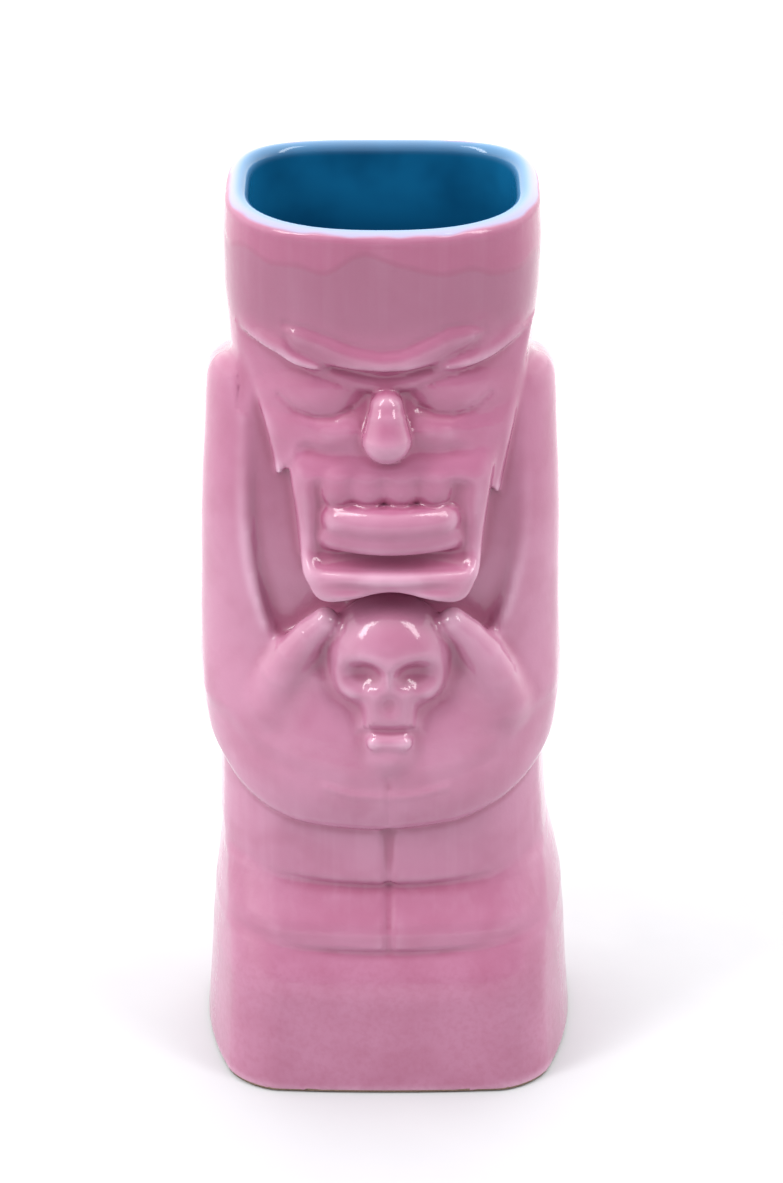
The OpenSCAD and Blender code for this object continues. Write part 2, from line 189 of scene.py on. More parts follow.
# Tables by height, as (z, size): _w is a half-width, _d a depth from the middle. waist_z and the
# other tables that end in _z give a height by x. The axis leans a little to the left as it rises.
axis = eased([(0, 0.7), (33, 0.7), (43, 0.2), (50, -0.4), (60, -0.6), (80, -0.8), (98, -1.0), (118, -0.9),
    (150, -0.7), (185, -0.4)], 3)

plinth_w = eased([(0, BASE_W), (5, BASE_W - 0.4), (14, BASE_W - 1.0), (24, BASE_W - 1.5),
    (30, BASE_W - 2.2), (34, BASE_W - 2.8)])
plinth_d = eased([(0, BASE_D), (14, BASE_D - 0.7), (22, BASE_D - 1.2), (26, BASE_D - 2.2),
    (31.4, BASE_D - 4.8), (36, BASE_D - 7)], 1.6)
foot_w = eased([(27, 35.0), (32, 35.2), (38, 34.3), (44, 33.2)])
foot_d = eased([(28, 25.6), (30.4, 26.6), (31.8, 27.8), (34.8, 27.7), (37.0, 27.0), (44, 22.8),
    (47, 21.6)], 0.6)
leg_w = eased([(42, 33.0), (50, 32.9), (60, 32.5), (68, 32.4)])
waist_z = eased([(-36, 71), (-33, 68.2), (-28, 63.3), (-22.6, 60.6), (-17, 58.8), (0, 57.6), (15, 59.4),
    (24, 62.4), (31, 66), (36, 71)], 2)
body_w = eased([(56, 32.1), (62, 32.2), (66, 33.0), (69, 33.7), (73.5, 34.4), (78, 35.0), (87, 35.7),
    (96.5, 35.8), (107, 35.6), (118, 35.5), (128, 35.1), (136, 34.6), (143, 34.3), (150, 33.8)], 1.5)
belly_d = eased([(56, 25.6), (60, 27.0), (64, 28.2), (67, 28.7), (71, 28.5), (75, 27.6), (80, 26.4),
    (86, 24.4), (92, 22), (100, 18)], 1.5)
arm_d = eased([(72, 23), (80, 23), (88, 22), (100, 21), (112, 20.4), (130, 20), (146, 19), (156, 17)], 3)
head_w = eased([(140, 27.6), (150, 28.6), (155, 29.2), (161, 29.7), (167, 30.3), (176, 30.5), (183, 30.1),
    (190, 29.8)], 1.5)
back_d = eased([(60, 25.2), (68, 26.8), (80, 28.0), (100, 28.4), (125, 27.8), (143, 26.6), (160, 25.6)], 3)


def trunk(x, f, z):
    """Plinth, feet, legs, belly and raised arms, one above another."""
    x = x - axis(z)
    body = meet(block(x, f, plinth_w(z), plinth_d(z), plinth_d(z), 7.5), z - PLINTH_Z - 5, 3.0)
    feet = meet(block(x, f, foot_w(z), foot_d(z), 27.6, 8, 220), z - ANKLE_Z - 3, 3)
    body = join(body, feet, 0.9)
    legs = block(x, f, leg_w(z), 24.4, 25.6, 9, 125)
    legs = meet(legs, np.maximum(ANKLE_Z + 0.2 - z, z - 72), 3.0)
    body = join(body, legs, 1.0)
    belly = column(x, f, body_w(z) - 0.14 * np.maximum(z - 82, 0), belly_d(z), back_d(z), 2.8, 2.3)
    belly = meet(belly, np.maximum(waist_z(x) - z, z - 100), 3.0)
    body = join(body, belly, 1.0)
    shoulder = (z - 151.4 - 0.3 * f) / 1.04
    arms = block(x, f, body_w(z), arm_d(z), back_d(z), 12, 300)
    arms = meet(arms, np.maximum(68 - z, shoulder), 6)
    return join(body, arms, 2.5)


def head(x, f, z):
    """The tall forehead and the back of the head, up to the rim."""
    power = np.where(f > 0, 2.5, 3.4)
    return meet(column(x - axis(z), f, head_w(z), 24.4, 24.4, power, power), 146 - z, 3)


chest_l = eased([(86, 16), (92, 18.6), (98, 21.4), (104, 23.6), (113, 25.8), (124, 26.8), (137, 27.2),
    (146, 27), (156, 27)], 3)
chest_r = eased([(86, 16), (92, 18.4), (98, 20.6), (104, 23), (108, 24.4), (116, 26.4), (124, 27.4),
    (135, 27.8), (146, 27.6), (156, 27.6)], 3)
chest_f = eased([(76, 38), (84, 29), (90, 25.4), (95, 18.6), (100, 16.8), (106, 16), (120, 15.4),
    (156, 15.4)], 4)


def chest(x, f, z, d):
    """The hollow between the arms and the jaw."""
    sides = np.maximum(-x - chest_l(z), x - chest_r(z))
    hollow = meet(sides, chest_f(z) - f, 3.0)
    hollow = np.maximum(hollow, z - 158)
    return cut(d, hollow, 1.8)


SPLIT_X = 0.8


def split(x, f, z, d):
    """The tapered gap between the two legs and the narrow one between the feet."""
    legs = roll(x, f, z, (SPLIT_X, 24.4, ANKLE_Z + 1.2, 0.4), (SPLIT_X, 24.6, 57, 1.3))
    foot = [(SPLIT_X, 28.0, PLINTH_Z + 1.8, 0.6), (SPLIT_X, 27.8, 35.2, 0.5),
        (SPLIT_X, 23.4, ANKLE_Z + 0.4, 0.6)]
    return cut(d, np.minimum(legs, rolls(x, f, z, foot)), 1.4)


# ---- the face ------------------------------------------------------------------------------------
cheek_l = eased([(130, 20.4), (137, 21.4), (143, 22.8), (150, 25), (163, 28.4), (170, 29.4)])
cheek_r = eased([(128, 22.0), (136, 23.4), (143, 24.8), (150, 26.2), (161, 28), (170, 29.4)])
cheek_f = eased([(130, 23.4), (136, 24.2), (142, 24.6), (145, 24.2), (148, 23.3), (152, 22.6), (160, 22.8),
    (168, 22)])
cheek_z = eased([(-26, 127), (-21, 130.5), (-18.6, 135.6), (-16.6, 139.6), (-14.6, 140.8), (-11, 139.8),
    (-6.4, 139.6), (-3, 138.6), (4, 139.4), (6.6, 141), (10.2, 140.2), (14, 141), (17, 139.6),
    (19.6, 133.6), (21.4, 127.5), (26, 123.6)], 0.8)
muzzle_l = eased([(104, 10), (110, 13.4), (115, 15.9), (126, 17.0), (136, 18.4), (144, 19.4)])
muzzle_r = eased([(104, 12), (109, 15.4), (115, 18.2), (125, 19.4), (137, 21.0), (144, 21.6)])
muzzle_f = eased([(106, 29.8), (112, 30.2), (115, 29.9), (117, 29.0), (119.4, 27.4), (123, 26.8),
    (131, 27.2), (135.2, 26.8), (138, 25.7), (140.6, 24.2), (144, 23.2)], 0.8)
ledge_z = eased([(-29, 162.0), (-24, 160.6), (-20, 159.2), (-16.6, 157.2), (-12, 155.0), (-6, 152.8),
    (0, 151.9), (6, 152.8), (12, 155.2), (16.6, 157.0), (20, 158.2), (24, 160), (29, 162.6)], 1)
lid_f = eased([(-28, -10.4), (-25, -7.0), (-20, -3.6), (-14, -1.2), (-7, -0.3), (0, 0), (7, -0.3),
    (14, -1.2), (20, -3.6), (25, -7.0), (28, -10.4)], 2)

LEDGE = [(-27, 162.6), (-20, 160.6), (-12, 156.6), (-6, 154.3), (0, 153.5), (6, 154.4), (12, 156.8),
    (20, 159.8), (27, 162.8)]
BROW_TOP = [(-18.6, 165.8), (-15, 165.6), (-10.6, 164.2), (-6, 162.4), (-1, 161.3), (3, 161.6), (8, 164.0),
    (12, 165.8), (15.6, 166), (18.6, 165.2)]
BROW_MID = [(-16.6, 163.6), (-13.6, 162.9), (-10, 161.4), (-5, 159.6), (0, 158.7), (4, 159.3), (8, 161.1),
    (12.4, 163.0), (17.6, 164.0)]
BROW_LOW = [(-18.6, 163.0), (-17, 160.8), (-13.4, 159.2), (-8, 157.0), (-3.4, 155.7), (0, 155.3),
    (3.6, 155.8), (8, 157.6), (12.5, 159.8), (17, 162.0), (18.8, 163.6)]
UNDER_LEFT = [(-20, 150.0), (-17, 147.8), (-13, 146.6), (-9.6, 146.8), (-6.4, 148.4)]
UNDER_RIGHT = [(20, 150.6), (17, 148.2), (13, 147.0), (9.6, 147.4), (6.4, 148.8)]


def face(x, f, z, d):
    """Eyes, cheeks and jaw, carved back under the brow."""
    front = cheek_f(z) + lid_f(x)
    socket = meet(z - ledge_z(x), front - f, 1.2)
    socket = np.maximum(socket, np.maximum(np.abs(x) - 27.6, 145 - z))
    d = cut(d, socket, 1.4)
    sides = np.maximum(-x - cheek_l(z), x - cheek_r(z))
    cheeks = meet(meet(f - front, sides, 2.0), cheek_z(x) - z, 2.6)
    cheeks = np.maximum(cheeks, z - 162)
    d = join(d, cheeks, 1.0)
    sides = np.maximum(-x - muzzle_l(z), x - muzzle_r(z))
    groove = 1.0 * np.exp(-((z - 113.2) / 1.5) ** 2) * (1 - step(np.abs(x - 1.2), 7, 14))
    jaw = meet(f - (muzzle_f(z) - groove - (x - 1.2) ** 2 / 110), sides, 3.0)
    chin_z = 109.2 + 3.0 * np.exp(-((x - 1.2) / 9) ** 2)
    jaw = meet(np.maximum(jaw, z - 143.5), chin_z - z, 2.4)
    return join(d, jaw, 1.8)


def face_relief(x, f, z, d):
    """Brow and its ledge above; eyelids and the folds beside the nose below."""
    brow = line(x, z, BROW_MID, 2.8, 1.1) + line(x, z, BROW_TOP, 0.9, -0.35)
    brow = brow + line(x, z, BROW_LOW, 0.9, -0.4)
    brow = brow + line(x, z, LEDGE, 1.9, 0.9)
    lids = dome(x, z, (-13.6, 151.8), (11.6, 5.2), 1.5, 7)
    lids = lids + dome(x, z, (14.4, 152.2), (11.6, 5.2), 1.5, -7)
    under = line(x, z, UNDER_LEFT, 0.8, -0.45) + line(x, z, UNDER_RIGHT, 0.8, -0.45)
    deep = line(x, z, [(-5.6, 148.6), (-4.2, 150.6)], 2.2, -0.7)
    deep = deep + line(x, z, [(7.0, 148.6), (5.4, 150.6)], 2.2, -0.7)
    wings = line(x, z, [(-10.4, 143.8), (-5.6, 144.6)], 2.3, 0.7)
    wings = wings + line(x, z, [(6.6, 144.8), (11.4, 144.2)], 2.3, 0.7)
    above = step(z, ledge_z(x) - 0.6, ledge_z(x) + 0.6)
    relief = brow * above * (1 - step(np.abs(x), 23, 29)) + (lids + under + deep + wings) * (1 - above)
    return d - relief * step(f, 10, 16)


def nose(x, f, z, d):
    """The nose, which widens down to its tip."""
    ridge = [(0.4, 24.4, 149.9, 3.2), (0.4, 25.3, 147.6, 3.7), (0.4, 25.9, 143.9, 4.7)]
    return join(d, rolls(x, f, z, ridge), 1.2)


def mouth(x, f, z, d):
    """The open mouth, with a scalloped upper lip and a tongue in two rolls."""
    hollow = slab(x, f, z, (-14.6, 24.0, 116.6), (17.6, 38, 135.2), 3)
    d = cut(d, hollow, 1.6)
    for centre in (-8.6, -3.0, 3.0, 9.2):
        d = join(d, egg(x, f, z, (centre, 24.7 - 0.006 * centre * centre, 132.6), (3.3, 2.2, 4.0)), 1.6)
    bowed = f + (x - 1.2) ** 2 / 48
    upper = roll(x, bowed, z, (-9.4, 26.6, 126.4, 3.2), (11.8, 26.6, 126.4, 3.2))
    lower = roll(x, bowed, z, (-10.8, 26.2, 122.3, 2.7), (13.2, 26.2, 122.3, 2.7))
    return join(d, join(upper, lower, 1.6), 0.8)


# ---- skull and hands -----------------------------------------------------------------------------
def skull(x, f, z, d):
    """The small skull: cranium, cheekbones, eye sockets, nose, mouth and chin."""
    s = x - 0.9
    m = np.abs(s)
    bone = egg(s, f, z, (0, 21.0, 96.6), (12.0, 9.8, 11.2))
    bone = join(bone, egg(m, f, z, (6.0, 21.0, 91.6), (5.4, 7.6, 5.6)), 2)
    bone = join(bone, rolls(s, f, z, [(0, 21.4, 87, 7.4), (0, 21.6, 80, 6.9), (0, 21.4, 75.6, 5.6)]), 2)
    bone = cut(bone, egg(m, f, z, (5.9, 31.0, 94.2), (4.9, 4.6, 3.4), -6), 2.4)
    wide = 3.3 + 0.14 * (91 - z)
    thick = np.maximum(f - 29.2 + 0.05 * (88 - z), 20 - f)
    border = np.maximum(m - wide, np.abs(z - 86.8) - 3.8)
    bone = join(bone, meet(thick, border, 2.6), 2.6)
    bone = join(bone, roll(s, f, z, (-2.7, 28.2, 79.6, 1.8), (2.7, 28.2, 79.6, 1.8)), 1.2)
    bone = join(bone, egg(s, f, z, (0, 25.2, 76.0), (5.2, 4.8, 4.4)), 1.4)
    bone = cut(bone, egg(s, f, z, (0, 30.4, 88.0), (2.2, 1.4, 2.6)), 0.8)
    slit = roll(s, f, z, (-3.4, 29.5, 82.2, 0.7), (3.4, 29.5, 82.2, 0.7))
    return join(d, cut(bone, slit, 1.2), 2.0)


HAND = [(12.4, 22.6, 103.2, 2.8), (15.4, 22.2, 100.2, 3.2), (18.4, 21.4, 95.6, 3.8),
    (20.4, 20.4, 90.4, 4.4), (21.8, 18.8, 84, 5.2)]
PALM = [(11, 17.6, 98, 4.4), (13.4, 17.4, 90, 5.6), (15, 17.0, 83, 6.0), (9, 17.6, 80, 6.4)]
FOREARM_LOW = [(-31, 80), (-26, 76.2), (-19.6, 74), (-14.4, 73), (-7, 71.6), (0, 71.2), (7, 71.6),
    (14.4, 73), (19.8, 74.8), (26, 78), (31, 82)]
forearm_z = eased(FOREARM_LOW, 1)


def hands(x, f, z, d):
    """The edge of each hand and the palm behind it, alike on both sides of the skull."""
    m = np.abs(x - 0.8)
    return join(d, join(rolls(m, f, z, HAND), rolls(m, f, z, PALM), 3), 2.8)


def body_relief(x, f, z, d):
    """Forearms a little proud of the belly, with a seam and a fold under them."""
    forearms = 0.6 * step(z, forearm_z(x) - 2.4, forearm_z(x) + 2.4) * (1 - step(z, 84, 98))
    seam = line(x, z, [(SPLIT_X, 72), (SPLIT_X, 60)], 0.7, -0.25)
    fold = line(x, z, [(-11.5, 69.2), (-6, 67.6), (0, 67.1), (6, 67.6), (12, 69.2)], 1.0, 0.25)
    return d - (forearms + seam + fold) * step(f, 6, 12)


def local(points, lo, hi, base, add):
    """Applies add(x, f, z, base) only where the points lie between lo and hi."""
    x, f, z = points
    inside = (x > lo[0]) & (x < hi[0]) & (f > lo[1]) & (f < hi[1]) & (z > lo[2]) & (z < hi[2])
    out = base.copy()
    out[inside] = add(x[inside], f[inside], z[inside], base[inside])
    return out


BASE_X = 0.7  # the carving's x is measured from a line this far to the left of the base's middle


def outer(x, f, z):
    """Distance to the outside of the figure."""
    x = x + BASE_X
    p = (x, f, z)
    d = join(trunk(x, f, z), head(x, f, z), 2.0)
    d = local(p, (-40, 4, 76), (40, 40, 160), d, chest)
    d = local(p, (-8, 12, 26), (10, 40, 66), d, split)
    d = local(p, (-36, 4, 104), (36, 40, 172), d, face)
    d = local(p, (-30, 8, 138), (30, 40, 172), d, face_relief)
    d = local(p, (-20, 14, 112), (22, 40, 142), d, mouth)
    d = local(p, (-16, 14, 134), (17, 40, 158), d, nose)
    d = local(p, (-40, 4, 56), (40, 40, 104), d, body_relief)
    d = local(p, (-40, 0, 64), (40, 40, 114), d, hands)
    return local(p, (-16, 8, 66), (17, 40, 112), d, skull)


# ---- the hollow inside ---------------------------------------------------------------------------
cavity_w = eased([(6, 28), (28, 28.6), (45.5, 26.8), (62, 26.4), (76, 28.8), (92, 29.8), (108, 29.8),
    (136, 28.4), (148, 25.6), (156, 25.0), (172, 25.6), (200, 25.5)], 4)
cavity_f = eased([(6, 20.6), (26, 19.5), (45.5, 15), (62, 18.5), (76, 18.5), (92, 13.6), (108, 12.0),
    (136, 12.0), (148, 15.0), (156, 17.6), (172, 20.4), (200, 20.6)], 4)
cavity_b = eased([(6, 22.6), (26, 22.4), (45.5, 20.4), (62, 20), (76, 22.6), (92, 23.8), (108, 23.6),
    (136, 22), (148, 20), (156, 19.6), (172, 20.6), (200, 21.2)], 4)


def cavity(x, f, z):
    """The hollow that holds the drink."""
    x = x + BASE_X - axis(z)
    power = np.where(f > 0, 2.5, 3.8)
    return meet(column(x, f, cavity_w(z), cavity_f(z), cavity_b(z), power, power), 9.6 - z, 8)


def solid(x, f, z):
    """Distance to the whole mug: the figure less the hollow and the recess under the foot."""
    out, hole = outer(x, f, z), cavity(x, f, z)
    mid, half = (out + hole) / 2, (hole - out) / 2
    rise = np.maximum(z - (HEIGHT - np.clip(half, 0, LIP)), 0)
    lip = np.sqrt(mid ** 2 + rise ** 2) - half
    d = np.where(z > HEIGHT - 6, lip, np.maximum(out, -hole))
    under = meet(block(x, f, BASE_W - 5, BASE_D - 5, BASE_D - 5, 4), z - 2.0, 1.5)
    return cut(meet(d, -z, 1.2), under, 1.2)


# ---- surface of a solid on a grid ----------------------------------------------------------------
def surface(shape, lo, hi, spacing):
    """Quads round the zero of shape between two corners: one vertex for each grid cell it crosses."""
    axes = [np.arange(a, b + spacing, spacing) for a, b in zip(lo, hi)]
    x, f = np.meshgrid(axes[0], axes[1], indexing="ij")
    layers = [shape(x.ravel(), f.ravel(), np.full(x.size, level)).reshape(x.shape) for level in axes[2]]
    value = np.stack(layers, axis=2)
    inside = value < 0
    size = [n - 1 for n in value.shape]
    corners = [np.array((i, j, k)) for i in (0, 1) for j in (0, 1) for k in (0, 1)]
    blocks = [tuple(slice(k, k + n) for k, n in zip(c, size)) for c in corners]
    filled = sum(inside[block_of].astype(int) for block_of in blocks)
    cells = np.argwhere((filled > 0) & (filled < 8))
    index = np.full(size, -1)
    index[tuple(cells.T)] = np.arange(len(cells))
    total, hits = np.zeros((len(cells), 3)), np.zeros(len(cells))
    for a in corners:
        for b in corners:
            if (b - a).sum() != 1 or (b < a).any():
                continue
            va, vb = value[tuple((cells + a).T)], value[tuple((cells + b).T)]
            crossed = (va < 0) != (vb < 0)
            t = np.where(crossed, va / np.where(crossed, va - vb, 1), 0)
            total += np.where(crossed[:, None], a + t[:, None] * (b - a), 0)
            hits += crossed
    points = (cells + total / hits[:, None]) * spacing + np.array(lo)
    quads = []
    for axis_no in range(3):
        u, v = (axis_no + 1) % 3, (axis_no + 2) % 3
        here = np.take(inside, range(size[axis_no]), axis_no)
        there = np.take(inside, range(1, size[axis_no] + 1), axis_no)
        edge = np.argwhere(here != there)
        du, dv = np.eye(3, dtype=int)[u], np.eye(3, dtype=int)[v]
        ring = np.stack([index[tuple(e.T)] for e in (edge - du - dv, edge - dv, edge, edge - du)], axis=1)
        quads.append(np.where(here[tuple(edge.T)][:, None], ring, ring[:, ::-1]))
    return points, np.concatenate(quads)


def around(shape, p, h):
    """The distance h before and h after each point, along each axis."""
    sides = []
    for way in np.eye(3) * h:
        sides.append((shape(*(p - way).T), shape(*(p + way).T)))
    return sides


def slope(shape, p, h=0.05):
    """How fast the distance grows along each axis at each point."""
    return np.stack([(after - before) / (2 * h) for before, after in around(shape, p, h)], axis=1)


def settle(shape, points, quads, rounds):
    """Evens out the grid's steps, then pulls every point onto the solid, in short moves."""
    a, b = quads.ravel(), np.roll(quads, -1, axis=1).ravel()
    count = np.bincount(np.concatenate([a, b]), minlength=len(points))
    for _ in range(rounds):
        mean = [(np.bincount(a, p[b], len(p)) + np.bincount(b, p[a], len(p))) / count for p in points.T]
        points = points + 0.6 * (np.stack(mean, axis=1) - points)
        for _ in range(2):
            g = slope(shape, points)
            move = -shape(*points.T)[:, None] * g / np.maximum((g * g).sum(axis=1), 0.15)[:, None]
            reach = np.linalg.norm(move, axis=1)
            points = points + move * np.minimum(1, 0.6 / np.maximum(reach, 1e-9))[:, None]
    return points


def even(values, quads, rounds):
    """Evens values out over the surface."""
    a, b = quads.ravel(), np.roll(quads, -1, axis=1).ravel()
    count = np.bincount(np.concatenate([a, b]), minlength=len(values))
    for _ in range(rounds):
        near = np.bincount(a, values[b], len(values)) + np.bincount(b, values[a], len(values))
        values = (values + near / count) / 2
    return values


def shell(name, points, normals, quads, inset=0.0, closed=True, **marks):
    """Mesh piece. A glaze gets a second surface inset below the first, with a rim between them."""
    used, quads = np.unique(quads, return_inverse=True)
    quads = quads.reshape(-1, 4)
    top, normal = points[used], normals[used]
    n = len(top)
    if not closed:
        edges = np.stack([quads.ravel(), np.roll(quads, -1, axis=1).ravel()], axis=1)
        key = edges.min(axis=1) * n + edges.max(axis=1)
        _, first, times = np.unique(key, return_index=True, return_counts=True)
        rim = edges[first[times == 1]]
        walls = np.stack([rim[:, 1] + 2 * n, rim[:, 0] + 2 * n, rim[:, 0] + 3 * n, rim[:, 1] + 3 * n],
            axis=1)
        under = top - normal * inset
        top = np.concatenate([top, under, top, under])
        normal = np.concatenate([normal, -normal, normal, normal])
        quads = np.concatenate([quads, quads[:, ::-1] + n, walls])
        keep, quads = np.unique(quads, return_inverse=True)
        quads = quads.reshape(-1, 4)
        top, normal = top[keep], normal[keep]
        used = used[keep % n]
    mirror = np.array([1, -1, 1])
    mesh = bpy.data.meshes.new(name)
    mesh.from_pydata((top * mirror * MM).tolist(), [], quads[:, ::-1].tolist())
    mesh.shade_smooth()
    mesh.normals_split_custom_set_from_vertices((normal * mirror).tolist())
    for mark, values in marks.items():
        layer = mesh.attributes.new(mark, "FLOAT", "POINT")
        layer.data.foreach_set("value", values[used].astype(np.float32))
    obj = bpy.data.objects.new(name, mesh)
    bpy.context.scene.collection.objects.link(obj)
    return obj


# ---- materials: a node's inputs are numbers, colours or other nodes' outputs ----------------------
class Nodes:
    """A material's node tree, with short ways to add nodes."""

    def __init__(self, name):
        self.material = bpy.data.materials.new(name)
        self.material.use_nodes = True
        self.tree = self.material.node_tree
        self.shader = self.tree.nodes["Principled BSDF"]

    def put(self, socket, value):
        if isinstance(value, bpy.types.NodeSocket):
            self.tree.links.new(value, socket)
        elif isinstance(value, tuple) and len(value) == 3 and socket.type == "RGBA":
            socket.default_value = (*value, 1)
        else:
            socket.default_value = value

    def node(self, kind, inputs, **settings):
        n = self.tree.nodes.new(kind)
        for key, value in settings.items():
            setattr(n, key, value)
        for key, value in inputs.items():
            self.put(n.inputs[key], value)
        return n

    def place(self, scale=(1, 1, 1)):
        """Position in millimetres, stretched by scale."""
        geometry = self.node("ShaderNodeNewGeometry", {})
        size = tuple(k / MM for k in scale)
        return self.node("ShaderNodeVectorMath", {0: geometry.outputs["Position"], 1: size},
            operation="MULTIPLY").outputs[0]

    def noise(self, where, scale, detail=3.0, rough=0.5):
        n = self.node("ShaderNodeTexNoise", {"Vector": where, "Scale": scale, "Detail": detail,
            "Roughness": rough})
        return n.outputs["Fac"]

    def math(self, operation, a, b=0.0, clamp=False):
        return self.node("ShaderNodeMath", {0: a, 1: b}, operation=operation, use_clamp=clamp).outputs[0]

    def span(self, value, lo, hi, out_lo=0.0, out_hi=1.0, smooth=True):
        """Maps lo..hi of value to out_lo..out_hi."""
        kind = "SMOOTHSTEP" if smooth else "LINEAR"
        inputs = {"Value": value, "From Min": lo, "From Max": hi, "To Min": out_lo, "To Max": out_hi}
        return self.node("ShaderNodeMapRange", inputs, interpolation_type=kind).outputs["Result"]

    def mix(self, factor, a, b):
        n = self.node("ShaderNodeMix", {}, data_type="RGBA")
        self.put(n.inputs[0], factor)
        self.put(n.inputs[6], a)
        self.put(n.inputs[7], b)
        return n.outputs[2]

    def mark(self, name):
        return self.node("ShaderNodeAttribute", {}, attribute_name=name).outputs["Fac"]

    def bump(self, height, distance, strength=1.0):
        n = self.node("ShaderNodeBump", {"Height": height, "Distance": distance * MM, "Strength": strength})
        return n.outputs["Normal"]

    def finish(self, **inputs):
        for key, value in inputs.items():
            self.put(self.shader.inputs[key.replace("_", " ")], value)
        return self.material


# Colours in linear light
PINK = (0.425, 0.144, 0.254)
PINK_PALE = (0.70, 0.44, 0.57)
PINK_DEEP = (0.33, 0.078, 0.158)
# Painted shade: greyer, darker pink for the upper forehead
PINK_GREY_SHADE = (0.26, 0.10, 0.16)
BLUE = (0.006, 0.132, 0.295)
BLUE_PALE = (0.25, 0.41, 0.62)
BLUE_DEEP = (0.001, 0.042, 0.12)
LILAC = (0.46, 0.38, 0.54)
CLAY_DARK, CLAY_LIGHT = (0.17, 0.10, 0.07), (0.30, 0.21, 0.15)
DRIP_Z = HEIGHT - 9.0  # lower edge of the glaze that ran down from the lip


def pink_colour(m):
    """Pink glaze: paler over edges and deeper in creases, partly where the glaze runs thin or pools and
    partly as painted highlight and painted shade. Darker towards the top of the forehead and paler from
    the mouth down as painted shade and painted light by height, and greyer on the upper forehead as
    painted shade. Deeper in the band that ran down from the lip, with a painted shade line along its
    edge, and with faint upright streaks and a soft mottle on the plinth. Gives its colour and the
    height of its relief."""
    bend = m.mark("bend")
    height = m.node("ShaderNodeSeparateXYZ", {0: m.place()}).outputs["Z"]
    streak = m.noise(m.place((1, 1, 0.06)), 0.35, 2)
    cloud = m.noise(m.place(), 0.10, 2)
    speck = m.noise(m.place(), 0.7, 2, 0.6)
    low = m.span(height, 24, 34, 1, 0)
    grain_top = m.span(height, 160, 172)
    grain_legs = m.math("MULTIPLY", m.span(height, 76, 66), m.span(height, 32, 42))
    grain = m.math("MAXIMUM", grain_top, grain_legs)
    # Painted light and shade by height: darker towards the top of the forehead, paler from the mouth down,
    # a little less pale towards the base
    height_light_and_shade = m.math("ADD", m.span(height, 146, 176, 0, 0.35), m.span(height, 134, 106, 0, -0.18))
    height_light_and_shade = m.math("ADD", height_light_and_shade, m.span(height, 64, 40, 0, 0.09))
    colour = m.mix(m.math("MAXIMUM", height_light_and_shade, 0), PINK, PINK_DEEP)
    colour = m.mix(m.math("MULTIPLY", m.math("MINIMUM", height_light_and_shade, 0), -1), colour, PINK_PALE)
    # Paler over convex bends and deeper in concave ones: partly the glaze running thin and pooling, partly
    # painted highlight on ridges and painted shade in creases
    colour = m.mix(m.math("MULTIPLY", m.span(bend, 0.1, 0.8), 0.7), colour, PINK_PALE)
    colour = m.mix(m.math("MULTIPLY", m.span(bend, -0.02, -0.4), 0.6), colour, PINK_DEEP)
    streaks = m.math("MULTIPLY", m.span(streak, 0.46, 0.7), m.math("MULTIPLY", grain, 0.07))
    colour = m.mix(streaks, colour, PINK_PALE)
    colour = m.mix(m.math("MULTIPLY", m.span(cloud, 0.35, 0.7), 0.3), colour, PINK_DEEP)
    mottle = m.math("MULTIPLY", m.span(speck, 0.35, 0.75), m.math("MULTIPLY", low, 0.22))
    colour = m.mix(mottle, colour, PINK_DEEP)
    wave = m.span(m.noise(m.place((1, 1, 0)), 0.055, 1), 0.25, 0.75, -6.0, 3.5, smooth=False)
    drip = m.span(m.math("ADD", height, wave), DRIP_Z - 0.8, DRIP_Z + 1.2)
    colour = m.mix(m.math("MULTIPLY", drip, 0.4), colour, PINK_DEEP)
    # Painted shade: greyer, darker pink over the upper forehead below the run, standing for the dark front
    # it reflects
    forehead_shade = m.math("MULTIPLY", m.span(height, 158, 168, 0, 0.5), m.math("SUBTRACT", 1.0, drip))
    colour = m.mix(forehead_shade, colour, PINK_GREY_SHADE)
    # Painted shade: a thin deeper line along the lower edge of the run, where its raised edge is shaded
    edge = m.math("MULTIPLY", m.math("MULTIPLY", drip, m.math("SUBTRACT", 1.0, drip)), 1.8)
    colour = m.mix(edge, colour, PINK_DEEP)
    relief = m.math("ADD", m.math("MULTIPLY", streak, m.math("MULTIPLY", grain, 0.5)),
        m.math("MULTIPLY", speck, 0.4))
    return colour, m.math("ADD", relief, m.math("MULTIPLY", drip, 1.0))


def pink_glaze():
    """Glossy pink glaze for the outside."""
    m = Nodes("pink_glaze")
    colour, relief = pink_colour(m)
    rough = m.span(m.noise(m.place(), 0.3), 0.3, 0.7, 0.10, 0.18)
    return m.finish(Base_Color=colour, Roughness=rough, IOR=1.58, Normal=m.bump(relief, 0.12))


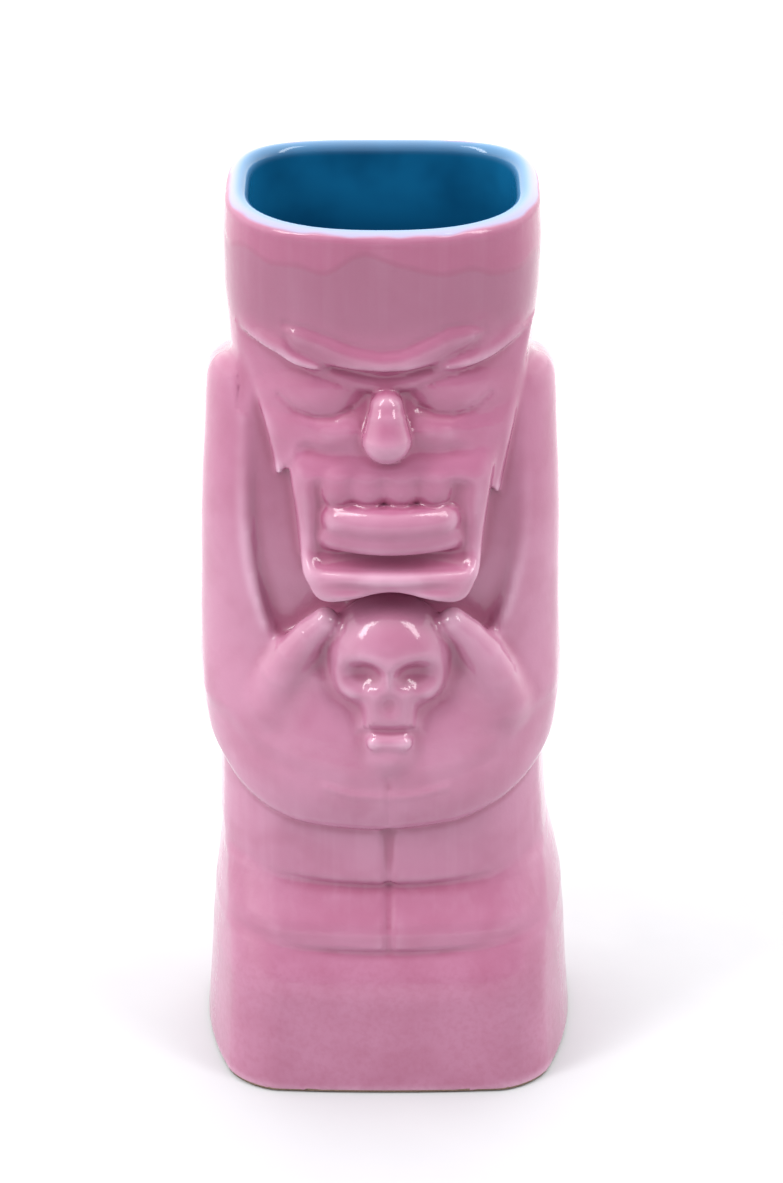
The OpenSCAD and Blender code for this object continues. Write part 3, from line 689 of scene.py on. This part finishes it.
def blue_glaze():
    """Blue glaze, darker deeper in the hollow as painted shade, and pale over the lip, partly where the
    glaze thins and partly as a painted reflection, with the pink glaze lapping up to it in a wavy line
    outside.
    """
    m = Nodes("blue_glaze")
    pink, relief = pink_colour(m)
    height = m.node("ShaderNodeSeparateXYZ", {0: m.place()}).outputs["Z"]
    colour = m.mix(m.span(m.noise(m.place(), 0.05), 0.35, 0.7, 0, 0.6), BLUE, BLUE_DEEP)
    # Painted shade: darker deeper down in the hollow
    colour = m.mix(m.span(height, HEIGHT - 26, HEIGHT - 8, 1, 0), colour, BLUE_DEEP)
    outside = m.mark("outside")
    # Paler at the top of the lip and on its outer side: partly the glaze thinning over the edge, partly a
    # painted reflection
    colour = m.mix(m.span(height, HEIGHT - 2.5, HEIGHT - 0.3, 0, 0.3), colour, BLUE_PALE)
    colour = m.mix(m.span(outside, 0.1, 0.7, 0, 0.7), colour, BLUE_PALE)
    colour = m.mix(m.span(outside, 0.35, 0.8, 0, 0.7), colour, LILAC)
    wave = m.span(m.noise(m.place(), 0.12, 1), 0.3, 0.7, -0.3, 0.3, smooth=False)
    level = m.math("ADD", height, wave)
    lap = m.math("MULTIPLY", m.span(level, HEIGHT - 0.5, HEIGHT + 0.15, 1, 0), m.span(outside, 0.35, 0.6))
    colour = m.mix(lap, colour, pink)
    rough = m.span(m.noise(m.place(), 0.3), 0.3, 0.7, 0.08, 0.14)
    normal = m.bump(m.math("MULTIPLY", relief, lap), 0.12)
    return m.finish(Base_Color=colour, Roughness=rough, IOR=1.5, Normal=normal)


def bare_clay():
    """Rough unglazed clay, seen at the foot."""
    m = Nodes("bare_clay")
    grit = m.noise(m.place(), 2.2, 6, 0.7)
    colour = m.mix(m.span(grit, 0.35, 0.65), CLAY_DARK, CLAY_LIGHT)
    return m.finish(Base_Color=colour, Roughness=m.span(grit, 0.3, 0.7, 0.75, 0.92),
        Normal=m.bump(grit, 0.12))


# ---- the pieces ----------------------------------------------------------------------------------
GLAZE = 0.35  # thickness of a glaze coat
BEND = 1.4  # reach over which the surface's bend is measured
points, quads = surface(solid, (-40, -34, -2), (40, 34, HEIGHT + 2), VOXEL)
points = settle(solid, points, quads, 2)
normals = slope(solid, points)
normals /= np.linalg.norm(normals, axis=1)[:, None]
bend = sum(before + after for before, after in around(solid, points, BEND)) - 6 * solid(*points.T)
bend = even(bend / BEND ** 2, quads, 6)
to_out, to_hole = np.abs(outer(*points.T)), np.abs(cavity(*points.T))
outside = to_hole / (to_out + to_hole)  # 1 on the outside, 0 in the hollow

middle = points[quads].mean(axis=1)
inner = (outside[quads].mean(axis=1) < 0.5) & (middle[:, 2] > 6) | (middle[:, 2] > HEIGHT - 2.2)
foot = (normals[quads].mean(axis=1)[:, 2] < -0.5) & (middle[:, 2] < 4) | (middle[:, 2] < FOOT_Z)
foot &= ~inner

glazed = np.ones(len(points))
glazed[quads[foot]] = 0
clay = shell("clay_body_looks", points - normals * (glazed * GLAZE * 1.2)[:, None], normals, quads)
pink = shell("outer_glaze_looks", points, normals, quads[~inner & ~foot], GLAZE, False, bend=bend)
blue = shell("inner_glaze_looks", points, normals, quads[inner], GLAZE, False, bend=bend, outside=outside)
for obj, node, slot, make in (
    (clay, "clay_body", "bare_clay", bare_clay),
    (pink, "outer_glaze", "pink_glaze", pink_glaze),
    (blue, "inner_glaze", "blue_glaze", blue_glaze),
):
    obj.data.materials.append(make())
    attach(obj, "root")
    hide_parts(node)


# ---- studio: a pale floor, a white surround that is dimmer in front, and two tall soft lamps -----
def add(name, data):
    obj = bpy.data.objects.new(name, data)
    bpy.context.scene.collection.objects.link(obj)
    return obj


ELEVATION, REACH = math.radians(27.4), 1.0
target = Vector((0.0006, 0, 0.098))
camera = add("camera", bpy.data.cameras.new("camera"))
camera.data.sensor_width, camera.data.lens = 36, 153.4
camera.location = target + REACH * Vector((0, -math.cos(ELEVATION), math.sin(ELEVATION)))
camera.rotation_euler = (math.pi / 2 - ELEVATION, 0, 0)
bpy.context.scene.camera = camera

bpy.ops.mesh.primitive_plane_add(size=4, location=(0, 0, 0))
floor = bpy.context.object
floor.name = "floor"
paper = Nodes("floor")
# Painted light: the floor is coloured lighter further back, with a faint random tone over it
far = paper.node("ShaderNodeSeparateXYZ", {0: paper.place()}).outputs["Y"]
tone_and_light = paper.math("ADD", paper.math("MULTIPLY", paper.noise(paper.place(), 0.05, 3), 0.2),
    paper.span(far, -100, 400))
floor.data.materials.append(paper.finish(Base_Color=paper.mix(paper.span(tone_and_light, 0, 1.2),
    (0.55, 0.555, 0.575), (0.84, 0.84, 0.84)), Roughness=0.55))


def lamp(name, place, size, power):
    """Soft rectangular lamp that faces the mug."""
    obj = add(name, bpy.data.lights.new(name, "AREA"))
    obj.data.shape = "RECTANGLE"
    obj.data.size, obj.data.size_y = size
    obj.data.energy = power
    obj.location = place
    obj.rotation_euler = (Vector((0, 0, 0.1)) - Vector(place)).to_track_quat("-Z", "Y").to_euler()


lamp("lamp left", (-0.62, -0.42, 0.95), (0.22, 1.0), 6.9)
lamp("lamp right", (0.62, -0.42, 0.95), (0.22, 1.0), 5.3)

# The surround is dimmer towards the front, and a little more so on the right
world = bpy.data.worlds.new("surround")
bpy.context.scene.world = world
world.use_nodes = True
tree = world.node_tree
place = tree.nodes.new("ShaderNodeTexCoord")
parts = tree.nodes.new("ShaderNodeSeparateXYZ")
dim = tree.nodes.new("ShaderNodeMapRange")
tree.links.new(place.outputs["Generated"], parts.inputs[0])
skew = tree.nodes.new("ShaderNodeMath")
skew.operation = "MULTIPLY_ADD"
skew.inputs[1].default_value = -0.22
tree.links.new(parts.outputs["X"], skew.inputs[0])
tree.links.new(parts.outputs["Y"], skew.inputs[2])
tree.links.new(skew.outputs[0], dim.inputs["Value"])
tree.links.new(dim.outputs["Result"], tree.nodes["Background"].inputs["Strength"])
for key, value in {"From Min": -0.8, "From Max": -0.1, "To Min": 0.3, "To Max": 1.8}.items():
    dim.inputs[key].default_value = value
tree.nodes["Background"].inputs["Color"].default_value = (1, 1, 1, 1)
bpy.context.scene.view_settings.view_transform = "Standard"
